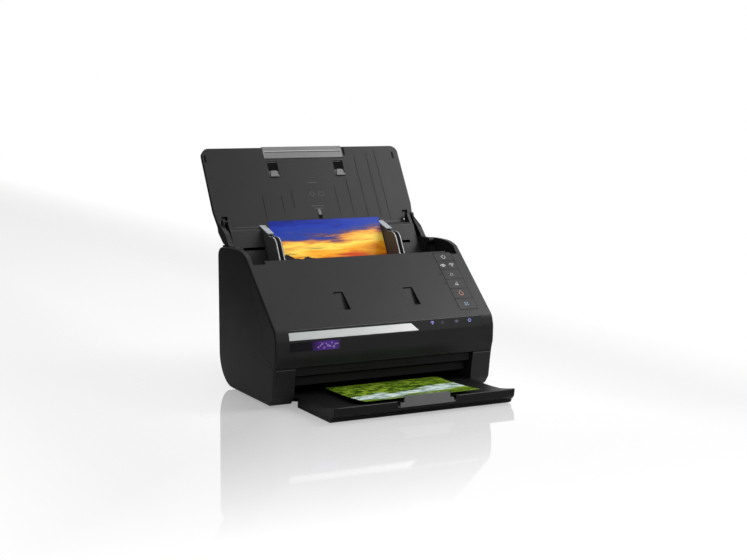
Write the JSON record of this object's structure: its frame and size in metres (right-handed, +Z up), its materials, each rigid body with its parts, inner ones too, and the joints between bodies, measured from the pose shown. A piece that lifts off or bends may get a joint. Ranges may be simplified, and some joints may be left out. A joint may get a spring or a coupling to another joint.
{
  "type": "sheet-fed photo scanner",
  "caption": "Desktop sheet-fed photo scanner with a fold-over input tray, sliding edge guides, an opening front cover, a key column and a pull-out output tray.",
  "frame": {"origin": "on the table, below the middle of the casing (half its width, and the middle of its depth without the bulging front)", "axes": "+X to the right seen from the front, +Y to the back, +Z up"},
  "size_m": [0.296, 0.348, 0.2931],
  "materials": {
    "badge_purple": "black to purple",
    "board_green": "solder mask",
    "body_black": "fine matte texture, near black",
    "clear_glass": "clear",
    "gear_white": "natural white",
    "gloss_black": "polished black",
    "guide_black": "near black",
    "handle_grey": "mid grey, satin",
    "inner_grey": "dark grey",
    "key_black": "satin black",
    "pad_white": "pale grey",
    "roller_grey": "matte",
    "rubber_black": "matte",
    "sensor_white": "white",
    "sheet_steel": "zinc plated",
    "steel": "plain",
    "strip_silver": "silver",
    "tray_black": "fine matte texture, near black"
  },
  "bodies": {
    "base": {"base_shell": "body_black", "bottom_plate": "body_black", "floor_screws": "steel", "rubber_feet": "rubber_black", "side_plate_left": "sheet_steel", "side_plate_right": "sheet_steel", "lower_guide": "inner_grey", "rear_deck": "inner_grey", "base_scan_bar": "sensor_white", "base_glass": "clear_glass", "drive_motor": "steel", "drive_belt": "rubber_black", "main_board": "board_green", "power_inlet": "body_black", "usb_port": "sheet_steel"},
    "feed_drive": {"feed_roller": "roller_grey", "feed_gear": "gear_white"},
    "motor_pinion": {"motor_pinion": "gear_white"},
    "transport_roller": {"transport_roller": "roller_grey"},
    "exit_roller": {"exit_roller": "roller_grey"},
    "cover": {"cover_shell": "body_black", "cover_inner_frame": "inner_grey", "cover_scan_bar": "sensor_white", "cover_glass": "clear_glass", "cover_hinge_pins": "steel", "display_window": "gloss_black", "label_strip": "strip_silver", "badge": "badge_purple", "key_board": "board_green"},
    "separation_roller": {"separation_roller": "roller_grey"},
    "transport_idler": {"transport_idler": "gear_white"},
    "exit_idler": {"exit_idler": "gear_white"},
    "input_tray": {"input_tray": "tray_black", "tray_rear_cover": "body_black", "tray_clips": "pad_white"},
    "tray_extension": {"tray_extension": "tray_black", "extension_handle": "handle_grey"},
    "hopper": {"hopper_front": "tray_black", "hopper_back": "body_black"},
    "guide_pinion": {"guide_pinion": "gear_white"},
    "guide_left": {"guide_left": "guide_black", "guide_pad_left": "pad_white"},
    "guide_right": {"guide_right": "guide_black", "guide_pad_right": "pad_white"},
    "output_tray": {"output_tray": "tray_black", "tray_runner": "tray_black"},
    "output_extension": {"output_extension": "inner_grey"},
    "output_stopper": {"output_stopper": "handle_grey"},
    "key_power": {"key_power": "key_black"},
    "key_view": {"key_view": "key_black"},
    "key_wireless": {"key_wireless": "key_black"},
    "key_mode": {"key_mode": "key_black"},
    "key_quality": {"key_quality": "key_black"},
    "key_stop": {"key_stop": "key_black"},
    "key_start": {"key_start": "key_black"}
  },
  "joints": [
    {"name": "tray_fold", "type": "hinge", "parent": "base", "child": "input_tray", "pos_m": [0, 0.05, 0.1725], "axis": [1, 0, 0], "range_deg": [0, 162]},
    {"name": "hopper_fold", "type": "hinge", "parent": "input_tray", "child": "hopper", "pos_m": [0, 0.098, 0.202], "axis": [1, 0, 0], "range_deg": [-41, 0]},
    {"name": "tray_extension_slide", "type": "slide", "parent": "input_tray", "child": "tray_extension", "axis": [0, 0.5, 0.866], "range_m": [0, 0.068]},
    {"name": "guide_left_slide", "type": "slide", "parent": "hopper", "child": "guide_left", "axis": [-1, 0, 0], "range_m": [-0.052, 0.029]},
    {"name": "guide_right_slide", "type": "slide", "parent": "hopper", "child": "guide_right", "axis": [1, 0, 0], "range_m": [-0.0525, 0.0295]},
    {"name": "guide_pinion_spin", "type": "hinge", "parent": "hopper", "child": "guide_pinion", "pos_m": [0, 0.07652, 0.16708], "axis": [0, -0.8517, 0.524], "range_deg": [-380, 215]},
    {"name": "cover_hinge", "type": "hinge", "parent": "base", "child": "cover", "pos_m": [0, -0.0825, 0.0525], "axis": [-1, 0, 0], "range_deg": [-55, 0]},
    {"name": "output_slide", "type": "slide", "parent": "base", "child": "output_tray", "axis": [0, -1, 0], "range_m": [-0.097, 0]},
    {"name": "output_extension_slide", "type": "slide", "parent": "output_tray", "child": "output_extension", "axis": [0, -1, 0], "range_m": [0, 0.05]},
    {"name": "output_stopper_hinge", "type": "hinge", "parent": "output_extension", "child": "output_stopper", "pos_m": [0, -0.1834, 0.0126], "axis": [1, 0, 0], "range_deg": [0, 88]},
    {"name": "feed_roller_spin", "type": "hinge", "parent": "base", "child": "feed_drive", "pos_m": [0, 0.03776, 0.09364], "axis": [1, 0, 0], "continuous": true},
    {"name": "motor_pinion_spin", "type": "hinge", "parent": "base", "child": "motor_pinion", "pos_m": [0, 0.04681, 0.07125], "axis": [1, 0, 0], "continuous": true},
    {"name": "transport_roller_spin", "type": "hinge", "parent": "base", "child": "transport_roller", "pos_m": [0, 0.01766, 0.06999], "axis": [1, 0, 0], "continuous": true},
    {"name": "exit_roller_spin", "type": "hinge", "parent": "base", "child": "exit_roller", "pos_m": [0, -0.04852, 0.03291], "axis": [1, 0, 0], "continuous": true},
    {"name": "separation_roller_spin", "type": "hinge", "parent": "cover", "child": "separation_roller", "pos_m": [0, 0.02219, 0.10325], "axis": [1, 0, 0], "continuous": true},
    {"name": "transport_idler_spin", "type": "hinge", "parent": "cover", "child": "transport_idler", "pos_m": [0, 0.00849, 0.0766], "axis": [1, 0, 0], "continuous": true},
    {"name": "exit_idler_spin", "type": "hinge", "parent": "cover", "child": "exit_idler", "pos_m": [0, -0.05126, 0.04387], "axis": [1, 0, 0], "continuous": true},
    {"name": "press_power", "type": "slide", "parent": "cover", "child": "key_power", "axis": [0, 0.6691, -0.7431], "range_m": [0, 0.0006], "stiffness_N_per_m": 400, "springref_m": -0.0012},
    {"name": "press_view", "type": "slide", "parent": "cover", "child": "key_view", "axis": [0, 0.6691, -0.7431], "range_m": [0, 0.0006], "stiffness_N_per_m": 400, "springref_m": -0.0012},
    {"name": "press_wireless", "type": "slide", "parent": "cover", "child": "key_wireless", "axis": [0, 0.6691, -0.7431], "range_m": [0, 0.0006], "stiffness_N_per_m": 400, "springref_m": -0.0012},
    {"name": "press_mode", "type": "slide", "parent": "cover", "child": "key_mode", "axis": [0, 0.6691, -0.7431], "range_m": [0, 0.0006], "stiffness_N_per_m": 400, "springref_m": -0.0012},
    {"name": "press_quality", "type": "slide", "parent": "cover", "child": "key_quality", "axis": [0, 0.6691, -0.7431], "range_m": [0, 0.0006], "stiffness_N_per_m": 400, "springref_m": -0.0012},
    {"name": "press_stop", "type": "slide", "parent": "cover", "child": "key_stop", "axis": [0, 0.6691, -0.7431], "range_m": [0, 0.0006], "stiffness_N_per_m": 400, "springref_m": -0.0012},
    {"name": "press_start", "type": "slide", "parent": "cover", "child": "key_start", "axis": [0, 0.6691, -0.7431], "range_m": [0, 0.0006], "stiffness_N_per_m": 400, "springref_m": -0.0012}
  ],
  "couplings": [
    {"joint": "hopper_fold", "follows": "tray_fold", "ratio": -0.24938},
    {"joint": "guide_right_slide", "follows": "guide_left_slide", "ratio": 1},
    {"joint": "guide_pinion_spin", "follows": "guide_left_slide", "rad_per_m": 125},
    {"joint": "motor_pinion_spin", "follows": "feed_roller_spin", "ratio": -3},
    {"joint": "transport_roller_spin", "follows": "feed_roller_spin", "ratio": 1.5},
    {"joint": "exit_roller_spin", "follows": "feed_roller_spin", "ratio": 1.5}
  ]
}
